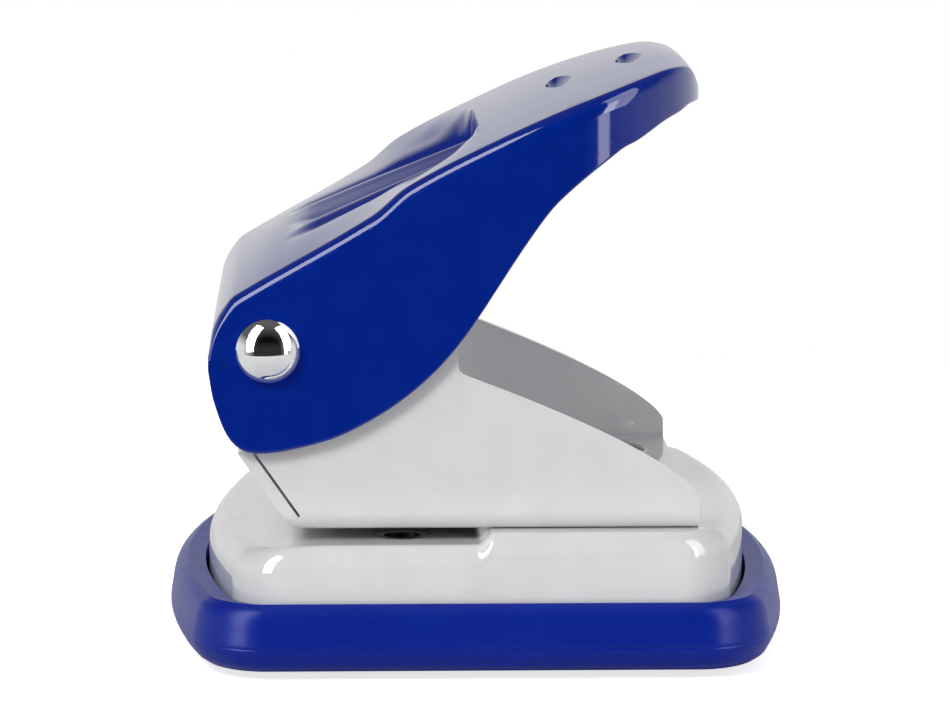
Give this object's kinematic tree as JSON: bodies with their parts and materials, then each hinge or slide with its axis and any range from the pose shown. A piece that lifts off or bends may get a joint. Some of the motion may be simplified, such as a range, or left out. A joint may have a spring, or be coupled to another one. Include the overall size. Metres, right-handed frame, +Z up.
{
  "type": "two-hole punch",
  "caption": "Desk hole punch with a pressed steel hand lever over a folded frame, spring-lifted punch pins, a pressed base and a pull-off chip tray.",
  "frame": {"origin": "middle of the tray's underside, on the desk", "axes": "+X from the pivot towards the lever tip, +Y along the pivot shaft, +Z up"},
  "size_m": [0.1052, 0.116, 0.0989],
  "materials": {
    "blue_enamel": "gloss",
    "white_enamel": "gloss",
    "blue_plastic": "satin",
    "chrome": "polished",
    "steel": "zinc plated",
    "tool_steel": "ground",
    "spring_steel": "drawn wire"
  },
  "bodies": {
    "base": {"base_pan": "white_enamel", "frame": "white_enamel", "frame_rivets": "steel", "pivot_shaft": "steel", "pivot_cap_near": "chrome", "pivot_cap_far": "chrome", "pivot_washer_near": "steel", "pivot_washer_far": "steel", "die_near": "tool_steel", "die_far": "tool_steel", "guide_bush_near": "steel", "guide_bush_far": "steel", "pin_bracket_near": "steel", "pin_bracket_far": "steel", "return_spring_near": "spring_steel", "return_spring_far": "spring_steel"},
    "lever": {"lever": "blue_enamel", "press_bar": "steel"},
    "pin_near": {"punch_pin_near": "tool_steel", "retaining_clip_near": "spring_steel", "spring_washer_near": "steel"},
    "pin_far": {"punch_pin_far": "tool_steel", "retaining_clip_far": "spring_steel", "spring_washer_far": "steel"},
    "tray": {"chip_tray": "blue_plastic"}
  },
  "joints": [
    {"name": "lever_press", "type": "hinge", "parent": "base", "child": "lever", "pos_m": [-0.0351, 0, 0.0537], "axis": [0, 1, 0], "range_deg": [0, 22], "stiffness_Nm_per_rad": 1.1, "springref_deg": -11.46},
    {"name": "pin_near_slide", "type": "slide", "parent": "base", "child": "pin_near", "axis": [0, 0, -1], "range_m": [0, 0.0086], "deforming": ["return_spring_near"]},
    {"name": "pin_far_slide", "type": "slide", "parent": "base", "child": "pin_far", "axis": [0, 0, -1], "range_m": [0, 0.0086], "deforming": ["return_spring_far"]},
    {"name": "tray_pull", "type": "slide", "parent": "base", "child": "tray", "axis": [0, 0, -1], "range_m": [0, 0.03]}
  ],
  "couplings": [
    {"joint": "pin_near_slide", "follows": "lever_press", "m_per_rad": 0.022395},
    {"joint": "pin_far_slide", "follows": "lever_press", "m_per_rad": 0.022395}
  ]
}
